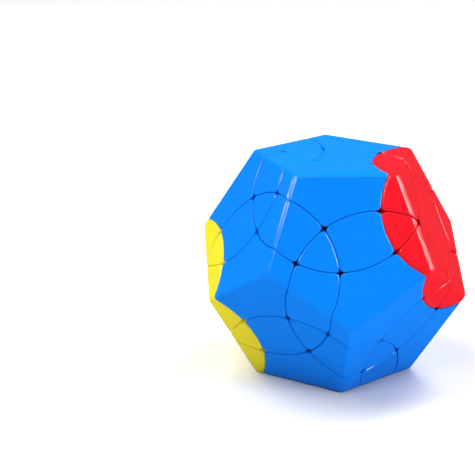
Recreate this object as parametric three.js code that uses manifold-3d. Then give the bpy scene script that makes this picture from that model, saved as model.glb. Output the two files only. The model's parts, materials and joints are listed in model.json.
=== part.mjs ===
// A dodecahedron twisty puzzle: a regular dodecahedron, cut by twelve turning layers.
//
// The twelve turning axes point at the corners of a regular icosahedron. Two of them, the red and the
// yellow pole, pass through the middles of two opposite faces. The outer dodecahedron is turned 36
// degrees about that line against the axes, so each of the other ten axes leaves close to an edge.
// A layer is everything inside one solid of revolution about its axis. Where only one layer reaches
// lies a centre piece, where two overlap an edge piece, and where three overlap a corner piece.
//
// Millimetres, +Z up. The origin is the centre of the core, where all twelve axes meet, and the
// puzzle stands on one face.

import * as THREE from 'three';
import { mergeVertices } from 'three/addons/utils/BufferGeometryUtils.js';
import Module from 'manifold-3d';

const wasm = await Module();
wasm.setup();

const DEG = Math.PI / 180;
const GOLDEN = (1 + Math.sqrt(5)) / 2;
const UP = new THREE.Vector3(0, 0, 1);

// ---- driving dimensions ---------------------------------------------------------------------

const CIRCUMRADIUS = 45; // centre to a corner of the dodecahedron; 71.5 across its faces
const POLE_AZIMUTH = -18 * DEG; // where the red face looks, seen from above
const AXIS_ANGLE = Math.atan(2); // between neighbouring turning axes, 63.43 degrees
const SHAPE_TURN = 36 * DEG; // the dodecahedron's turn about the pole line

const CUT_CENTRE = 39; // the cut between layers is a sphere centred this far out on its axis
const CUT_RADIUS = 29.1;
const CUT_WAIST = 20; // height of the sphere's lowest ring, over the feet
const CUT_TOP = 35; // and of its last ring, just outside the dodecahedron's edges
const CUT_ROWS = 2; // between them
const FOOT_ANGLE = 52 * DEG; // under the sphere the layer widens to this cone, the hidden feet
const FOOT_RADIUS = 25.7; // the feet end this far from the origin
const GAP = 0.4; // between two pieces, more than the facets' sagitta on the widest ring
const LAYER_SIDES = 20;
const FAR = 50; // beyond every corner

const HOLLOW_RADIUS = 19; // inside of the feet
const HUB_RADIUS = 13; // corner radius of the core's hub
const POST_TOP = 17.6;
const POST_RADIUS = 3.2;
const POST_BASE = 9; // inside the hub

const SCREW_RADIUS = 1.25;
const SCREW_TIP = 11.5;
const SCREW_HOLE = { radius: 1.45, bottom: 11 };
const SCREW_HEAD = { radius: 2.6, bottom: 30.7, top: 32.3 };
const ROD_SIDES = 8; // of the posts, screws and their holes
const BORE_RADIUS = 1.7; // of a centre piece's stem, round the screw
const CHAMBER = { radius: 3.3, bottom: 27, top: 33.2 }; // for the screw head and its spring

const LOOKS = {
  blue: { color: 0x0a7cf0, roughness: 0.28, metalness: 0 },
  red: { color: 0xe01b28, roughness: 0.28, metalness: 0 },
  yellow: { color: 0xf2e21c, roughness: 0.28, metalness: 0 },
};
const BLACK_PLASTIC = { color: 0x1c1d20, roughness: 0.5, metalness: 0 };
const STEEL = { color: 0xb9bdc2, roughness: 0.35, metalness: 1 };

// ---- solids ---------------------------------------------------------------------------------

// The closed solid of a three.js geometry, with shared vertices merged and flat triangles dropped.
function solid(geometry) {
  const bare = geometry.clone();
  bare.deleteAttribute('normal');
  bare.deleteAttribute('uv');
  const merged = mergeVertices(bare, 1e-4);
  const index = merged.index.array;
  const triangles = [];
  for (let i = 0; i < index.length; i += 3) {
    const [a, b, c] = index.slice(i, i + 3);
    if (a !== b && b !== c && c !== a) triangles.push(a, b, c);
  }
  const vertProperties = new Float32Array(merged.attributes.position.array);
  const triVerts = new Uint32Array(triangles);
  return new wasm.Manifold(new wasm.Mesh({ numProp: 3, vertProperties, triVerts }));
}

function geometryOf(manifold) {
  const mesh = manifold.getMesh();
  const geometry = new THREE.BufferGeometry();
  geometry.setAttribute('position', new THREE.BufferAttribute(mesh.vertProperties, 3));
  geometry.setIndex(new THREE.BufferAttribute(mesh.triVerts, 1));
  return geometry;
}

// Turns a geometry made along +Y so that it lies along an axis, with its +Z side towards a neighbour.
function along(geometry, axis) {
  const neighbour = neighboursOf(axis)[0].direction;
  const side = neighbour.clone().projectOnPlane(axis.direction).normalize();
  const across = new THREE.Vector3().crossVectors(axis.direction, side);
  return geometry.applyMatrix4(new THREE.Matrix4().makeBasis(across, axis.direction, side));
}

// A solid of revolution about an axis, from a profile of [distance along, radius] points.
function turned(profile, sides, axis) {
  const points = profile.map(([height, radius]) => new THREE.Vector2(radius, height));
  return solid(along(new THREE.LatheGeometry(points, sides), axis));
}

function rod(bottom, top, radius, axis) {
  const cylinder = new THREE.CylinderGeometry(radius, radius, top - bottom, ROD_SIDES);
  cylinder.translate(0, (top + bottom) / 2, 0);
  return solid(along(cylinder, axis));
}

// A regular dodecahedron that stands on a face, with another face looking along -Y and up.
function dodecahedron(radius) {
  const geometry = new THREE.DodecahedronGeometry(radius);
  geometry.rotateX(Math.atan(GOLDEN));
  geometry.rotateZ(Math.PI);
  return geometry;
}

// ---- the twelve axes ------------------------------------------------------------------------

function makeAxes() {
  const pole = UP.clone().applyAxisAngle(new THREE.Vector3(0, 1, 0), AXIS_ANGLE);
  pole.applyAxisAngle(UP, POLE_AZIMUTH);
  const axes = [
    { name: 'red', direction: pole },
    { name: 'yellow', direction: pole.clone().negate() },
  ];
  // Belt axes a1 to a5 surround the red pole; b1 lies between a1 and a2 on the yellow side.
  for (let k = 0; k < 5; k++) {
    const belt = UP.clone().applyAxisAngle(pole, SHAPE_TURN + 72 * DEG * k);
    const opposite = UP.clone().applyAxisAngle(pole, SHAPE_TURN + 72 * DEG * (k + 3)).negate();
    axes.push({ name: `a${k + 1}`, direction: belt }, { name: `b${k + 1}`, direction: opposite });
  }
  return axes.sort((p, q) => p.name.localeCompare(q.name));
}

const AXES = makeAxes();
const isNeighbour = (p, q) => p !== q && p.direction.dot(q.direction) > 0.4;
const neighboursOf = (axis) => AXES.filter((other) => isNeighbour(axis, other));
const axisNamed = (name) => AXES.find((axis) => axis.name === name);
const sharedBy = (axes) => AXES.filter((other) => axes.every((axis) => isNeighbour(axis, other)));

// ---- layers ---------------------------------------------------------------------------------

// A layer's profile, moved outward everywhere by an offset: the cone of the feet, the ledge that
// narrows over them to the sphere, and the sphere, which shows on the surface.
function layerProfile(offset) {
  const foot = FOOT_RADIUS + offset;
  const radius = CUT_RADIUS + offset;
  const waist = Math.acos((CUT_CENTRE - CUT_WAIST) / radius);
  const top = Math.acos((CUT_CENTRE - CUT_TOP) / radius);
  const profile = [
    [-offset / Math.sin(FOOT_ANGLE), 0],
    [
      foot * Math.cos(FOOT_ANGLE) - offset * Math.sin(FOOT_ANGLE),
      foot * Math.sin(FOOT_ANGLE) + offset * Math.cos(FOOT_ANGLE),
    ],
  ];
  for (let row = 0; row <= CUT_ROWS; row++) {
    const angle = waist + ((top - waist) * row) / CUT_ROWS;
    profile.push([CUT_CENTRE - radius * Math.cos(angle), radius * Math.sin(angle)]);
  }
  profile.push([FAR, radius * Math.sin(top)], [FAR, 0]);
  return profile;
}

for (const axis of AXES) {
  axis.inside = turned(layerProfile(-GAP / 2), LAYER_SIDES, axis);
  axis.around = turned(layerProfile(GAP / 2), LAYER_SIDES, axis);
}

function makeShell() {
  const hollow = solid(new THREE.IcosahedronGeometry(HOLLOW_RADIUS, 1));
  return solid(dodecahedron(CIRCUMRADIUS)).subtract(hollow);
}

const SHELL = makeShell();

// The part of the shell that lies in every layer of one list and in none of another.
function cell(within, outside) {
  let piece = SHELL;
  for (const axis of within) piece = piece.intersect(axis.inside);
  for (const axis of outside) piece = piece.subtract(axis.around);
  return piece;
}

// The stepped hole that comes up a centre piece's stem: the screw's bore, and the chamber over it.
function screwPocket(axis) {
  const profile = [
    [POST_TOP, 0],
    [POST_TOP, BORE_RADIUS],
    [CHAMBER.bottom, BORE_RADIUS],
    [CHAMBER.bottom, CHAMBER.radius],
    [CHAMBER.top, CHAMBER.radius],
    [CHAMBER.top, 0],
  ];
  return turned(profile, ROD_SIDES, axis);
}

// ---- the pieces -----------------------------------------------------------------------------

const puzzle = new THREE.Group();

function add(name, manifold, look) {
  const mesh = new THREE.Mesh(geometryOf(manifold), new THREE.MeshStandardMaterial(look));
  mesh.name = name;
  puzzle.add(mesh);
}

const KINDS = ['centre', 'edge', 'corner']; // lying in one, two or three layers
const keyOf = (axes) => axes.map((axis) => axis.name).join('_');
const pairs = AXES.flatMap((p) => neighboursOf(p).filter((q) => q.name > p.name).map((q) => [p, q]));
const triples = pairs.flatMap((pair) => {
  const last = pair[1].name;
  return sharedBy(pair).filter((axis) => axis.name > last).map((axis) => [...pair, axis]);
});

// Each piece is moulded in one colour: the pole's if it lies in a pole's layer, and blue otherwise.
function colourOf(axes) {
  const pole = axes.find((axis) => axis.name in LOOKS);
  return pole ? pole.name : 'blue';
}

// The three layers that turn here share no piece with each other. The other nine stay on the core.
const TURNING = ['red', 'b1', 'b4'].map(axisNamed);
const stays = (axes) => !axes.some((axis) => TURNING.includes(axis));

// Six pieces that stay on the core are one body with a piece next to them, its host, which lies in
// all their layers but one: the five corners with an edge of their own colour, and an edge at the
// back with its centre. A host's key leads to the layer that it lacks.
function chooseHosts() {
  const hosts = new Map([['b3', axisNamed('a4')]]);
  for (const corner of triples.filter(stays)) {
    const missing = corner.findLast((axis) => {
      const edge = corner.filter((other) => other !== axis);
      return colourOf(edge) === colourOf(corner) && !hosts.has(keyOf(edge));
    });
    hosts.set(keyOf(corner.filter((axis) => axis !== missing)), missing);
  }
  return hosts;
}

function addPieces() {
  const hosts = chooseHosts();
  const cells = [...AXES.map((axis) => [axis]), ...pairs, ...triples];
  const hostOf = (axes, missing) => hosts.get(keyOf(axes.filter((axis) => axis !== missing)));
  const isGuest = (axes) => axes.some((axis) => hostOf(axes, axis) === axis);
  for (const within of cells.filter((axes) => !isGuest(axes))) {
    const extra = hosts.get(keyOf(within));
    let piece = cell(within, sharedBy(within).filter((axis) => axis !== extra));
    if (within.length === 1) piece = piece.subtract(screwPocket(within[0]));
    const colour = colourOf(within);
    const kind = KINDS[within.length - 1] + (extra ? `_and_${KINDS[within.length]}` : '');
    const belt = within.map((axis) => axis.name).filter((name) => name !== colour);
    add([colour, kind, ...belt].join('_'), piece, LOOKS[colour]);
  }
}

// The hub with twelve posts, each with a blind hole for its screw.
function addCore() {
  const hub = dodecahedron(HUB_RADIUS);
  hub.applyMatrix4(new THREE.Matrix4().makeRotationAxis(axisNamed('red').direction, SHAPE_TURN));
  let core = solid(hub);
  for (const axis of AXES) core = core.add(rod(POST_BASE, POST_TOP, POST_RADIUS, axis));
  for (const axis of AXES) {
    core = core.subtract(rod(SCREW_HOLE.bottom, POST_TOP + 1, SCREW_HOLE.radius, axis));
  }
  add('core', core, BLACK_PLASTIC);
}

// The screws that the turning layers spin on.
function addScrews() {
  const profile = [
    [SCREW_TIP, 0],
    [SCREW_TIP, SCREW_RADIUS],
    [SCREW_HEAD.bottom, SCREW_RADIUS],
    [SCREW_HEAD.bottom, SCREW_HEAD.radius],
    [SCREW_HEAD.top, SCREW_HEAD.radius],
    [SCREW_HEAD.top, 0],
  ];
  for (const axis of TURNING) add(`axle_screw_${axis.name}`, turned(profile, ROD_SIDES, axis), STEEL);
}

addCore();
addScrews();
addPieces();

export default puzzle;
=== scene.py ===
"""Looks of the dodecahedron twisty puzzle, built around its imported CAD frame.

Every outer piece is shaped by a distance field: the rounded dodecahedron, cut by the twelve layers.
The puzzle looks the same after ten turns, so eight shapes give all sixty-two outer pieces.
"""
import itertools
import json
import math

import bpy
import numpy as np
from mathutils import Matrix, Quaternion, Vector

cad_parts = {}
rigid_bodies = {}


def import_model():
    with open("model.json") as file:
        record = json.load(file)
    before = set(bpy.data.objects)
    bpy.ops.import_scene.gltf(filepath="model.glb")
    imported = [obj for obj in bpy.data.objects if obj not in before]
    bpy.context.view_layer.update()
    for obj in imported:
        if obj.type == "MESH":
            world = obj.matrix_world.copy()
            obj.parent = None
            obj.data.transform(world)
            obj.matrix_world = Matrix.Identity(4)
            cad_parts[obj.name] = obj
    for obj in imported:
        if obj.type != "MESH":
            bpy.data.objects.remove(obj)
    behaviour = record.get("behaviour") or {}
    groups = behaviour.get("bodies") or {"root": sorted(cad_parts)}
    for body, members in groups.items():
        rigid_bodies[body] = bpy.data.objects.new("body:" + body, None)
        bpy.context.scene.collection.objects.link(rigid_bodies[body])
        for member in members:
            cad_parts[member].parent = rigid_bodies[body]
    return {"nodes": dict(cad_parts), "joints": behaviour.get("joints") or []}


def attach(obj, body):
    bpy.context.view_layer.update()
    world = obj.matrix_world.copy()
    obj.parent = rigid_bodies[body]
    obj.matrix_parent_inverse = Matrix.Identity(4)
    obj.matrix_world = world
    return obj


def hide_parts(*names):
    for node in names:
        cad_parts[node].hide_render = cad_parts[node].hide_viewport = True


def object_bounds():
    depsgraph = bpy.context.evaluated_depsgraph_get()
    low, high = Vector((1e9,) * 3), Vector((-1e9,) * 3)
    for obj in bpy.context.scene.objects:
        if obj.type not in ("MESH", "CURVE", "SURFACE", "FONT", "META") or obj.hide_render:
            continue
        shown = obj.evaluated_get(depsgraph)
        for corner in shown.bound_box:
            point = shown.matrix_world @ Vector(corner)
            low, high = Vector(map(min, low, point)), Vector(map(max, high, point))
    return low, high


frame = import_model()
cad_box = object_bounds()

# ---- dimensions, in millimetres, with the dodecahedron's size from the frame -----------------

MM = 0.001
INRADIUS_SHARE = 0.7946544723  # of a dodecahedron's corner radius
LOW, HIGH = (np.array(corner) / MM for corner in cad_box)
INRADIUS = float(HIGH[2] - LOW[2]) / 2
CIRCUMRADIUS = INRADIUS / INRADIUS_SHARE
BASE_Z = float(LOW[2]) * MM

EDGE_ROUND = 1.9  # fillet along the dodecahedron's edges
RIM_ROUND = 0.6  # fillet where a piece's face meets its walls
PLAN_ROUND = 2.3  # fillet between two walls of a piece
GAP = 0.1  # between two layers

CUT_CENTRE = 39.0  # how far out on its axis the middle of a layer's cut is
CUT_RADIUS = 29.1
FOOT_ANGLE = math.radians(52)  # half the angle of the cone that holds a layer's feet
FOOT_RADIUS = 25.6
FOOT_ROUND = 0.8
HOLLOW_RADIUS = 19.2  # of the room for the core

CAP_DEPTH = 3.2  # of a centre piece's cap
CAP_GAP = 0.06
CHAMBER_RADIUS = 3.6  # of the room for the spring
CHAMBER_FLOOR = 26.6
CHAMBER_ROUND = 0.3
BORE_RADIUS = 1.7

HUB_RADIUS = 11.0
POST_RADIUS = 3.1
POST_TOP = 17.4
POST_FILLET = 2.0
POST_ROUND = 0.4
HOLE_RADIUS = 1.45
HOLE_ROUND = 0.25
HOLE_SPARE = 0.6  # how far the hole goes on past the screw's tip

SCREW_RADIUS = 1.25
SCREW_TIP = 11.6
SCREW_ROUND = 0.2
HEAD_BOTTOM, HEAD_TOP = 30.3, 31.9
HEAD_RADIUS = 2.5
HEAD_ROUND = 0.7
RECESS_DEPTH = 0.9  # of the cross in the screw's head
RECESS_REACH = 1.3
RECESS_HALF_WIDTH = 0.32
THREAD_RADIUS = 1.4
THREAD_PITCH = 0.9
THREAD_DEPTH = 0.3

WASHER_RADIUS = 3.1
WASHER_THICKNESS = 0.5
WASHER_ROUND = 0.12
WASHER_PLAY = 0.02
SPRING_RADIUS = 2.3
SPRING_WIRE = 0.33  # radius of the wire
SPRING_TURNS = 4
SPRING_PLAY = 0.04  # to the washer and to the screw's head

# ---- how finely the pieces are meshed ----------------------------------------------------------

GRID = 0.2
FINE_GRID = 0.12  # for the screws, springs and washers
BLOCK = 5  # grid steps between the coarse grid's points
SETTLE_ROUNDS = 3
FLAT_WITHIN = 0.004  # how near a face's plane a point counts as on it

CAP_FACES = 12000
BODY_FACES = 8000
EDGE_FACES = 12000
CORNER_FACES = 9000
CORE_FACES = 12000
SCREW_FACES = 6000
WASHER_FACES = 1200
SPRING_FACES = 4000

# ---- axes and symmetry ------------------------------------------------------------------------

UP = np.array([0.0, 0.0, 1.0])


def turn(axis, degrees):
    """The matrix of a turn about a unit axis."""
    a = math.radians(degrees)
    x, y, z = axis
    cross = np.array([[0, -z, y], [z, 0, -x], [-y, x, 0]])
    return np.eye(3) + math.sin(a) * cross + (1 - math.cos(a)) * cross @ cross


JOINTS = {joint["name"]: joint for joint in frame["joints"]}
POLE = np.array(JOINTS["red_layer_turn"]["axis"])


def make_axes():
    """The twelve turning axes: the poles, a1 to a5 round the red one and b1 to b5 round the yellow."""
    axes = {"red": POLE, "yellow": -POLE}
    for k in range(5):
        axes[f"a{k + 1}"] = turn(POLE, 36 + 72 * k) @ UP
        axes[f"b{k + 1}"] = -turn(POLE, 36 + 72 * (k + 3)) @ UP
    return axes


AXES = make_axes()
FACES = np.array([side * n for n in [POLE] + [turn(POLE, 72 * k) @ UP for k in range(5)] for side in (1, -1)])
FLIP = turn(np.cross(POLE, UP) / np.linalg.norm(np.cross(POLE, UP)), 180)
SYMMETRY = [turn(POLE, 72 * k) @ half for half in (np.eye(3), FLIP) for k in range(5)]


def name_of(direction):
    """The axis that points most nearly that way."""
    return max(AXES, key=lambda name: AXES[name] @ direction)


def neighbours(names):
    """The axes next to every one of these."""
    return [n for n in AXES if n not in names and all(AXES[n] @ AXES[m] > 0 for m in names)]


# ---- distance fields: negative inside, points as rows, in millimetres --------------------------


def rounded_max(fields, radius):
    """What lies in all the fields, with a fillet where their surfaces meet.

    The cubes, where a circle would have squares, let the fillet run out smoothly into its surfaces.
    """
    over = [np.maximum(f + radius, 0) for f in fields]
    corner = np.cbrt(sum(o**3 for o in over))
    flat = np.maximum.reduce(fields)
    return np.where(flat > -radius, corner - radius, flat)


def rounded_min(fields, radius):
    """What lies in any of the fields, with a fillet where they meet."""
    return -rounded_max([-f for f in fields], radius)


def shell(p):
    """The dodecahedron with rounded edges and corners."""
    c = 1 / math.sqrt(5)
    heights = FACES @ p.T - (INRADIUS - EDGE_ROUND)
    third, second, first = np.partition(heights, (9, 10, 11), axis=0)[9:]
    on_edge = (first**2 + second**2 - 2 * c * first * second) / (1 - c * c)
    total = first + second + third
    on_corner = (first**2 + second**2 + third**2 - c / (1 + 2 * c) * total**2) / (1 - c)
    edge = second > c * first
    corner = edge & (third * (1 + c) > c * (first + second))
    far = np.where(corner, on_corner, np.where(edge, on_edge, first**2))
    return np.where(first > 0, np.sqrt(np.maximum(far, 0)), first) - EDGE_ROUND


def about(p, axis):
    """Height along an axis, and distance from it."""
    height = p @ axis
    return height, np.sqrt(np.maximum((p * p).sum(1) - height**2, 1e-9))


def layer(p, axis):
    """Everything that turns about one axis: inside the cut's sphere, or among the feet under it."""
    height, radius = about(p, axis)
    reach = np.hypot(height, radius)
    ball = np.hypot(height - CUT_CENTRE, radius) - CUT_RADIUS
    cone = radius * math.cos(FOOT_ANGLE) - height * math.sin(FOOT_ANGLE)
    feet = rounded_max([cone, reach - FOOT_RADIUS], FOOT_ROUND)
    return np.minimum(ball, feet)


def piece_field(names):
    """The piece that lies in the layers of these axes and in no other."""
    others = neighbours(names)

    def field(p):
        walls = [layer(p, AXES[n]) + GAP / 2 for n in names]
        walls += [GAP / 2 - layer(p, AXES[n]) for n in others]
        plan = rounded_max(walls, PLAN_ROUND)
        hollow = HOLLOW_RADIUS - np.sqrt((p * p).sum(1))
        return rounded_max([shell(p), plan, hollow], RIM_ROUND)

    return field


def cap_field(names):
    """The top of a centre piece, which covers its screw."""
    whole = piece_field(names)
    return lambda p: rounded_max([whole(p), -shell(p) - CAP_DEPTH + CAP_GAP / 2], RIM_ROUND / 3)


def body_field(names):
    """A centre piece without its cap, with the screw's bore and the spring's chamber."""
    whole = piece_field(names)
    axis = AXES[names[0]]

    def field(p):
        height, radius = about(p, axis)
        chamber = rounded_max([radius - CHAMBER_RADIUS, CHAMBER_FLOOR - height], CHAMBER_ROUND)
        hole = np.minimum(chamber, radius - BORE_RADIUS)
        top = shell(p) + CAP_DEPTH + CAP_GAP / 2
        return rounded_max([whole(p), top, -hole], RIM_ROUND / 2)

    return field


def screw_field(p):
    """A pan-head screw along +Z: thread in the post, plain shank above it, cross in the head."""
    radius = np.hypot(p[:, 0], p[:, 1])
    height = p[:, 2]
    turns = (height - SCREW_TIP) / THREAD_PITCH - np.arctan2(p[:, 1], p[:, 0]) / (2 * math.pi)
    groove = np.abs(turns - np.floor(turns) - 0.5) * 2 * THREAD_DEPTH
    threaded = np.maximum(radius - THREAD_RADIUS + groove, height - POST_TOP)
    shank = np.minimum(threaded, radius - SCREW_RADIUS)
    shank = rounded_max([shank, SCREW_TIP - height, height - HEAD_TOP + RECESS_DEPTH], SCREW_ROUND)
    head = rounded_max([radius - HEAD_RADIUS, height - HEAD_TOP], HEAD_ROUND)
    head = rounded_max([head, HEAD_BOTTOM - height], SCREW_ROUND / 2)
    near, far = np.sort(np.abs(p[:, :2]), axis=1).T
    floor_height = HEAD_TOP - RECESS_DEPTH
    cross = np.maximum.reduce([near - RECESS_HALF_WIDTH, far - RECESS_REACH, floor_height - height])
    return rounded_max([np.minimum(shank, head), -cross], SCREW_ROUND / 4)


def washer_field(p):
    """A flat ring on the chamber's floor."""
    radius = np.hypot(p[:, 0], p[:, 1])
    half = WASHER_THICKNESS / 2
    level = np.abs(p[:, 2] - CHAMBER_FLOOR - half - WASHER_PLAY) - half
    return rounded_max([radius - WASHER_RADIUS, BORE_RADIUS - radius, level], WASHER_ROUND)


def spring_field(p):
    """A coil between the washer and the screw's head, its ends cut square."""
    bottom = CHAMBER_FLOOR + WASHER_THICKNESS + SPRING_WIRE + SPRING_PLAY
    pitch = (HEAD_BOTTOM - SPRING_WIRE - SPRING_PLAY - bottom) / SPRING_TURNS
    share = np.arctan2(p[:, 1], p[:, 0]) / (2 * math.pi) + 0.5
    coil = np.clip(np.round((p[:, 2] - bottom) / pitch - share), 0, SPRING_TURNS - 1)
    rise = p[:, 2] - bottom - pitch * (coil + share)
    return np.hypot(rise, np.hypot(p[:, 0], p[:, 1]) - SPRING_RADIUS) - SPRING_WIRE


def core_field(p):
    """The hub with its twelve posts and their screw holes."""
    heights = np.array([p @ axis for axis in AXES.values()])
    nearest = heights.max(axis=0)
    reach = np.sqrt((p * p).sum(1))
    radius = np.sqrt(np.maximum(reach**2 - nearest**2, 1e-9))
    post = rounded_max([radius - POST_RADIUS, nearest - POST_TOP], POST_ROUND)
    solid = rounded_min([reach - HUB_RADIUS, post], POST_FILLET)
    hole = np.maximum(radius - HOLE_RADIUS, SCREW_TIP - HOLE_SPARE - nearest)
    return rounded_max([solid, -hole], HOLE_ROUND)


# ---- meshes from fields ----------------------------------------------------------------------


def grid_points(lines):
    """Every point of a grid, as rows."""
    return np.stack(np.meshgrid(*lines, indexing="ij"), -1).reshape(-1, 3)


def grid_box(field, reach, step=1.0):
    """The box that holds a field's inside, found on a coarse grid."""
    line = np.arange(-reach, reach + step, step)
    p = grid_points([line] * 3)
    inside = p[field(p) < step]
    return inside.min(0) - step, inside.max(0) + step


def grid_values(field, low, high, step):
    """A field on a grid: exact near the surface, and a coarser grid's values away from it."""
    lines = [np.arange(a, b + step, step) for a, b in zip(low, high)]
    size = [len(line) for line in lines]
    coarse = [line[BLOCK // 2::BLOCK] for line in lines]
    rough = field(grid_points(coarse)).reshape([len(line) for line in coarse])
    rows = [np.minimum(np.arange(n) // BLOCK, m - 1) for n, m in zip(size, rough.shape)]
    values = rough[np.ix_(*rows)]
    near = np.argwhere(np.abs(values) < 1.1 * BLOCK * step)
    values[tuple(near.T)] = field(low + step * near)
    return values


def surface_net(values, low, step):
    """Quads along the zero surface of a grid of values.

    Each cell that the surface passes through gets one point, the middle of where its sides are cut.
    Each side of the grid that is cut gets one quad, between the four cells round it.
    """
    inside = values < 0
    size = np.array(values.shape)
    corners = list(itertools.product((0, 1), repeat=3))
    count = sum(
        inside[i:size[0] - 1 + i, j:size[1] - 1 + j, k:size[2] - 1 + k].astype(np.int8)
        for i, j, k in corners
    )
    mixed = (count > 0) & (count < 8)
    cells = np.argwhere(mixed)
    index = np.full(mixed.shape, -1)
    index[mixed] = np.arange(len(cells))
    total = np.zeros((len(cells), 3))
    hits = np.zeros(len(cells))
    quads = []
    for axis in range(3):
        along = np.eye(3, dtype=int)[axis]
        u = np.eye(3, dtype=int)[(axis + 1) % 3]
        v = np.eye(3, dtype=int)[(axis + 2) % 3]
        for start in (cells, cells + u, cells + v, cells + u + v):
            a = values[tuple(start.T)]
            b = values[tuple((start + along).T)]
            cut = (a < 0) != (b < 0)
            share = a[cut] / (a[cut] - b[cut])
            total[cut] += start[cut] + share[:, None] * along
            hits[cut] += 1
        near = np.take(inside, range(size[axis] - 1), axis=axis)
        far = np.take(inside, range(1, size[axis]), axis=axis)
        edges = np.argwhere(near != far)
        ring = [index[tuple((edges - shift).T)] for shift in (u + v, v, 0 * u, u)]
        quad = np.stack(ring, 1)
        leaving = near[tuple(edges.T)]
        quads += [quad[leaving], quad[~leaving][:, ::-1]]
    return low + step * total / hits[:, None], np.concatenate(quads)


def gradient(field, p, step=0.01):
    """The field's slope at each point."""
    slopes = []
    for axis in np.eye(3):
        slopes.append((field(p + step * axis) - field(p - step * axis)) / (2 * step))
    return np.stack(slopes, 1)


def settle(field, p):
    """Moves points onto the field's surface."""
    for _ in range(SETTLE_ROUNDS):
        slope = gradient(field, p)
        p = p - slope * (field(p) / np.maximum((slope * slope).sum(1), 0.2))[:, None]
    return p


def thinned(points, quads, faces):
    """The same surface with about that many triangles, by Blender's Decimate."""
    mesh = bpy.data.meshes.new("dense")
    mesh.from_pydata(points.tolist(), [], quads.tolist())
    dense = bpy.data.objects.new("dense", mesh)
    bpy.context.collection.objects.link(dense)
    modifier = dense.modifiers.new("thin", "DECIMATE")
    modifier.ratio = min(1.0, faces / (2 * len(quads)))
    modifier.use_collapse_triangulate = True
    result = dense.evaluated_get(bpy.context.evaluated_depsgraph_get()).to_mesh()
    count = len(result.vertices)
    corners = np.empty(count * 3)
    result.vertices.foreach_get("co", corners)
    result.calc_loop_triangles()
    triangles = np.empty(len(result.loop_triangles) * 3, dtype=int)
    result.loop_triangles.foreach_get("vertices", triangles)
    bpy.data.objects.remove(dense)
    bpy.data.meshes.remove(mesh)
    return corners.reshape(-1, 3), triangles.reshape(-1, 3)


def corner_normals(field, points, triangles):
    """A normal for each triangle's corner: the face's own where it is flat, else the field's."""
    slopes = gradient(field, points)
    slopes /= np.linalg.norm(slopes, axis=1)[:, None]
    normals = slopes[triangles]
    depth = FACES @ points.T - INRADIUS
    on_face = np.abs(depth) < FLAT_WITHIN
    for face, flat in zip(FACES, on_face):
        normals[flat[triangles].all(axis=1)] = face
    return normals


def make_shape(field, faces, reach=CIRCUMRADIUS, grid=GRID):
    """Points, triangles and corner normals of a field's surface."""
    low, high = grid_box(field, reach)
    points, quads = surface_net(grid_values(field, low, high, grid), low, grid)
    points, triangles = thinned(points, quads, faces)
    points = settle(field, points)
    return points, triangles, corner_normals(field, points, triangles)


def add_mesh(name, shape, rotation, material, body, stands_for=()):
    """One piece: a shape turned into place, riding on a body, for the CAD nodes it stands for."""
    points, triangles, normals = shape
    mesh = bpy.data.meshes.new(name)
    mesh.from_pydata((points @ rotation.T * MM).tolist(), [], triangles.tolist())
    mesh.polygons.foreach_set("use_smooth", [True] * len(triangles))
    mesh.materials.append(material)
    mesh.normals_split_custom_set((normals @ rotation.T).reshape(-1, 3).tolist())
    piece = bpy.data.objects.new(name, mesh)
    bpy.context.collection.objects.link(piece)
    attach(piece, body)
    if stands_for:
        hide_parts(*stands_for)
    return piece


# ---- materials -------------------------------------------------------------------------------


TINT_SPREAD = 0.02  # of a plastic's colour, as a share of it
POLISH_SPREAD = 0.02  # of its roughness
SHELL_ROUGHNESS = 0.11
PLASTIC_IOR = 1.53


def start_material(name):
    """A new material, its tree and its shader."""
    material = bpy.data.materials.new(name)
    material.use_nodes = True
    return material, material.node_tree, material.node_tree.nodes["Principled BSDF"]


def noise(tree, scale, detail):
    texture = tree.nodes.new("ShaderNodeTexNoise")
    texture.inputs["Scale"].default_value = scale
    texture.inputs["Detail"].default_value = detail
    place = tree.nodes.new("ShaderNodeTexCoord")
    tree.links.new(place.outputs["Object"], texture.inputs["Vector"])
    return texture.outputs["Fac"]


def spread(tree, value, low, high, start=0.3, end=0.7):
    """A noise's range from start to end, stretched from low to high."""
    scale = tree.nodes.new("ShaderNodeMapRange")
    scale.inputs["From Min"].default_value = start
    scale.inputs["From Max"].default_value = end
    scale.inputs["To Min"].default_value = low
    scale.inputs["To Max"].default_value = high
    tree.links.new(value, scale.inputs["Value"])
    return scale.outputs["Result"]


def plastic(name, colour, roughness):
    """Glossy moulded plastic: its colour, with a faint mottle, an uneven polish and orange peel."""
    material, tree, shader = start_material(name)
    tint = tree.nodes.new("ShaderNodeMix")
    tint.data_type = "RGBA"
    tint.inputs["A"].default_value = (*((1 - TINT_SPREAD) * np.array(colour)), 1)
    tint.inputs["B"].default_value = (*((1 + TINT_SPREAD) * np.array(colour)), 1)
    tree.links.new(spread(tree, noise(tree, 90, 3), 0, 1), tint.inputs["Factor"])
    tree.links.new(tint.outputs["Result"], shader.inputs["Base Color"])
    polish = spread(tree, noise(tree, 260, 5), roughness - POLISH_SPREAD, roughness + POLISH_SPREAD)
    tree.links.new(polish, shader.inputs["Roughness"])
    bump = tree.nodes.new("ShaderNodeBump")
    bump.inputs["Strength"].default_value = 0.03
    bump.inputs["Distance"].default_value = 0.1 * MM
    tree.links.new(noise(tree, 700, 2), bump.inputs["Height"])
    tree.links.new(bump.outputs["Normal"], shader.inputs["Normal"])
    shader.inputs["IOR"].default_value = PLASTIC_IOR
    return material


def metal(name, colour, roughness):
    """Plated steel, unevenly polished."""
    material, tree, shader = start_material(name)
    shader.inputs["Base Color"].default_value = (*colour, 1)
    shader.inputs["Metallic"].default_value = 1
    polish = spread(tree, noise(tree, 900, 2), roughness - 0.1, roughness + 0.15, 0, 1)
    tree.links.new(polish, shader.inputs["Roughness"])
    return material


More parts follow.
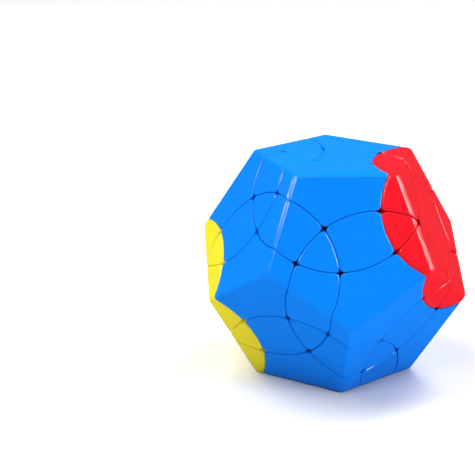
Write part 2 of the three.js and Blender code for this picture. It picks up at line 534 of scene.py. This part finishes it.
COLOURS = {
    "blue": plastic("blue_plastic", (0.001, 0.21, 0.85), SHELL_ROUGHNESS),
    "red": plastic("red_plastic", (0.82, 0.009, 0.02), SHELL_ROUGHNESS),
    "yellow": plastic("yellow_plastic", (0.82, 0.70, 0.03), SHELL_ROUGHNESS),
}
NYLON = plastic("black_nylon", (0.012, 0.012, 0.014), 0.45)
STEEL = metal("zinc_steel", (0.62, 0.63, 0.66), 0.3)

# ---- the pieces -------------------------------------------------------------------------------

STILL = JOINTS["red_layer_turn"]["parent"]
TURNING = {name_of(np.array(joint["axis"])): joint["child"] for joint in JOINTS.values()}
KINDS = ("centre", "edge", "corner")


def body_of(names):
    """The body that a piece in the layers of these axes rides on."""
    return next((TURNING[n] for n in names if n in TURNING), STILL)


def colour_of(names):
    return next((n for n in names if n in ("red", "yellow")), "blue")


def title(kind, names):
    """A piece's name: its colour, its kind and the axes between the poles whose layers it lies in."""
    belt = sorted(n for n in names if n not in ("red", "yellow"))
    return "_".join([colour_of(names), kind, *belt])


def cad_nodes(names):
    """The CAD nodes that a piece stands for: its own, or the one that it is joined to."""
    label = title(KINDS[len(names) - 1], names)
    with_guest = title(KINDS[len(names) - 1] + "_and_" + KINDS[min(len(names), 2)], names)
    return [node for node in (label, with_guest) if node in frame["nodes"]]


def orbit(names):
    """Every piece that the symmetry makes from one, with the turn that takes it there."""
    found = {}
    for rotation in SYMMETRY:
        target = tuple(sorted(name_of(rotation @ AXES[n]) for n in names))
        found.setdefault(target, rotation)
    return found


def add_pieces(names, suffix, field, faces):
    """Every piece of one shape, turned into its places. A centre's cap stands for the whole centre."""
    shape = make_shape(field, faces)
    for target, rotation in orbit(names).items():
        colour = colour_of(target)
        label = title(KINDS[len(names) - 1], target) + suffix
        nodes = [] if suffix == "_body" else cad_nodes(target)
        add_mesh(label, shape, rotation, COLOURS[colour], body_of(target), nodes)


for centre in (("red",), ("a1",)):
    add_pieces(centre, "_cap", cap_field(centre), CAP_FACES)
    add_pieces(centre, "_body", body_field(centre), BODY_FACES)
for piece in (("red", "a1"), ("a1", "a2"), ("a1", "b1"), ("a2", "b1")):
    add_pieces(piece, "", piece_field(piece), EDGE_FACES)
for piece in (("red", "a1", "a2"), ("a1", "a2", "b1")):
    add_pieces(piece, "", piece_field(piece), CORNER_FACES)

core = make_shape(core_field, CORE_FACES, POST_TOP + 2)
add_mesh("core_spider", core, np.eye(3), NYLON, STILL, ["core"])


def upright_to(axis):
    """The turn that takes +Z to an axis."""
    return np.array(Vector((0, 0, 1)).rotation_difference(Vector(axis)).to_matrix())


screw = make_shape(screw_field, SCREW_FACES, HEAD_TOP + 1, FINE_GRID)
washer = make_shape(washer_field, WASHER_FACES, HEAD_TOP + 1, FINE_GRID)
spring = make_shape(spring_field, SPRING_FACES, HEAD_TOP + 1, FINE_GRID)
for label, axis in AXES.items():
    pose = upright_to(axis)
    shown_for = [node for node in (f"axle_screw_{label}",) if node in frame["nodes"]]
    add_mesh(f"screw_{label}", screw, pose, STEEL, STILL, shown_for)
    add_mesh(f"washer_{label}", washer, pose, STEEL, body_of([label]))
    add_mesh(f"spring_{label}", spring, pose, STEEL, body_of([label]))

# ---- floor, light and camera -------------------------------------------------------------------

FLOOR_REACH = 0.75
BACKDROP_REACH = 4.0


def add_stage(name, corners, faces):
    """A part of the studio that reflections leave out, and its shader."""
    mesh = bpy.data.meshes.new(name)
    mesh.from_pydata(corners, [], faces)
    stage = bpy.data.objects.new(name, mesh)
    bpy.context.collection.objects.link(stage)
    paint = bpy.data.materials.new(name)
    paint.use_nodes = True
    mesh.materials.append(paint)
    stage.visible_glossy = False
    return stage, paint.node_tree.nodes["Principled BSDF"]


def add_floor():
    """A pale sheet under the puzzle."""
    square = [(x * FLOOR_REACH, y * FLOOR_REACH, BASE_Z) for x, y in ((-1, -1), (1, -1), (1, 1), (-1, 1))]
    _, shader = add_stage("floor", square, [(0, 1, 2, 3)])
    shader.inputs["Base Color"].default_value = (0.8, 0.8, 0.8, 1)
    shader.inputs["Roughness"].default_value = 0.9


def add_backdrop():
    """White walls all round, far away, which only the camera sees."""
    corners = [BACKDROP_REACH * Vector(c) for c in itertools.product((-1, 1), repeat=3)]
    faces = [(0, 1, 3, 2), (4, 6, 7, 5), (0, 4, 5, 1), (2, 3, 7, 6), (0, 2, 6, 4), (1, 5, 7, 3)]
    walls, shader = add_stage("backdrop", corners, faces)
    shader.inputs["Base Color"].default_value = (0, 0, 0, 1)
    shader.inputs["Emission Color"].default_value = (1, 1, 1, 1)
    shader.inputs["Emission Strength"].default_value = 1
    walls.visible_diffuse = False
    walls.visible_transmission = False
    walls.visible_shadow = False


add_floor()
add_backdrop()

scene = bpy.context.scene
world = bpy.data.worlds.new("studio")
scene.world = world
world.use_nodes = True
world.node_tree.nodes["Background"].inputs["Color"].default_value = (1, 1, 1, 1)
world.node_tree.nodes["Background"].inputs["Strength"].default_value = 0.06


def towards(azimuth, height):
    """The direction at an azimuth from -Y, to the right, and a height over the horizon."""
    level = math.cos(math.radians(height))
    return Vector((
        math.sin(math.radians(azimuth)) * level,
        -math.cos(math.radians(azimuth)) * level,
        math.sin(math.radians(height)),
    ))


def add_lamp(name, azimuth, height, distance, size, power):
    """A rectangle of light that faces the middle of the puzzle."""
    light = bpy.data.lights.new(name, "AREA")
    light.shape = "RECTANGLE"
    light.size, light.size_y = size
    light.energy = power
    lamp = bpy.data.objects.new(name, light)
    lamp.location = distance * towards(azimuth, height)
    lamp.rotation_euler = towards(azimuth, height).to_track_quat("Z", "Y").to_euler()
    bpy.context.collection.objects.link(lamp)
    return lamp


def add_panel(*where):
    """Lights the plastic evenly, and is left out of its reflections."""
    add_lamp(*where).visible_glossy = False


def add_glint(*where):
    """Seen only as a reflection: the bright lines along rounded edges."""
    add_lamp(*where).visible_diffuse = False


add_panel("high_left_panel", -105, 60, 1.0, (0.7, 0.7), 12.2)
add_panel("high_right_panel", 112, 50, 1.0, (0.6, 0.6), 3.8)
add_panel("high_back_panel", 132, 56, 1.0, (0.35, 0.35), 6.8)
add_panel("low_right_panel", 44, 6, 1.0, (0.3, 0.2), 2.8)
add_panel("left_panel", -34, 46, 0.9, (0.2, 0.2), 1.7)
add_panel("right_panel", 54, 33, 0.9, (0.2, 0.4), 1.7)
add_glint("left_strip", -34, 46, 0.9, (0.03, 0.13), 3.0)
add_glint("left_rim_strip", -103, 31, 0.9, (0.03, 0.2), 2.2)
add_glint("right_strip", 53, 34, 0.9, (0.09, 0.42), 6.4)
add_glint("right_rim_strip", 106, 17, 0.9, (0.05, 0.25), 1.6)
add_glint("high_left_square", -105, 60, 1.0, (0.12, 0.12), 1.4)
add_glint("high_front_strip", 18, 58, 1.0, (0.4, 0.1), 0.25)

# The camera aims left of the puzzle's middle, so the puzzle stands right of the picture's.
CAMERA_AIM = Vector((-0.0312, 0.0059, 0.0063))
CAMERA_DISTANCE = 0.5067
CAMERA_AZIMUTH = math.radians(-4.859)
CAMERA_HEIGHT = math.radians(18.411)
CAMERA_ROLL = math.radians(0.64)
CAMERA_LENS = 116.37


def add_camera():
    data = bpy.data.cameras.new("camera")
    data.sensor_width = 36
    data.lens = CAMERA_LENS
    camera = bpy.data.objects.new("camera", data)
    bpy.context.collection.objects.link(camera)
    level = math.cos(CAMERA_HEIGHT)
    away = Vector((
        math.sin(CAMERA_AZIMUTH) * level,
        -math.cos(CAMERA_AZIMUTH) * level,
        math.sin(CAMERA_HEIGHT),
    ))
    camera.location = CAMERA_AIM + CAMERA_DISTANCE * away
    roll = Quaternion((0, 0, 1), CAMERA_ROLL)
    camera.rotation_euler = (away.to_track_quat("Z", "Y") @ roll).to_euler()
    scene.camera = camera


add_camera()
scene.view_settings.view_transform = "Standard"
